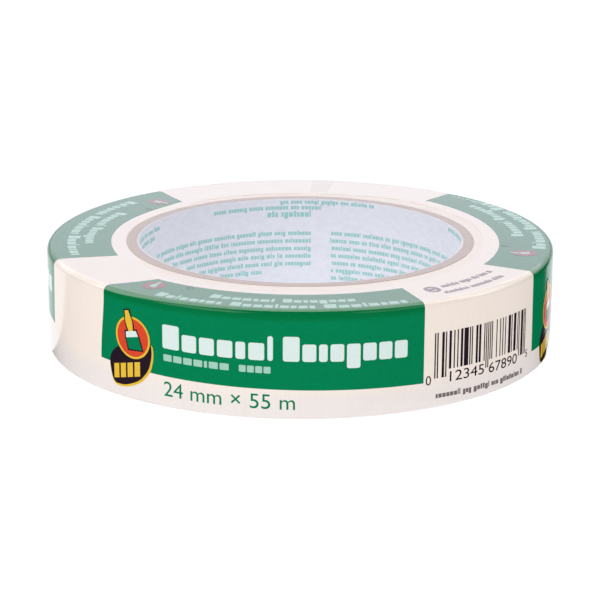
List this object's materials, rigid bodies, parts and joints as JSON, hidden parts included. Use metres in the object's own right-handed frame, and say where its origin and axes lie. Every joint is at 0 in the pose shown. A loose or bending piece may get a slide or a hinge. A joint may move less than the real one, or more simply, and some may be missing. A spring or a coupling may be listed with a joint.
{
  "type": "masking tape roll",
  "caption": "Roll of crepe paper masking tape wound on a paperboard core, with a printed liner in the bore and a printed film label wrapped over the rim and both faces.",
  "frame": {"origin": "on the roll's axis, at the lower face that it lies on", "axes": "+Z along the roll's axis, out of the bore towards the upper face; -Y towards the middle of the label's front panel"},
  "size_m": [0.1186, 0.1186, 0.0241],
  "materials": {
    "liner_paper": "matte",
    "core_board": "matte",
    "crepe_tape": "matte",
    "label_film": "gloss",
    "print_green": "gloss",
    "print_white": "gloss",
    "print_dark": "gloss",
    "print_grey": "gloss",
    "print_orange": "gloss",
    "print_yellow": "gloss",
    "print_teal": "matte"
  },
  "bodies": {
    "root": {"core_liner": "liner_paper", "core_ply_1": "core_board", "core_ply_2": "core_board", "core_ply_3": "core_board", "core_ply_4": "core_board", "core_ply_5": "core_board", "tape_winding": "crepe_tape", "tape_last_turn": "crepe_tape", "label_film": "label_film"}
  },
  "joints": []
}
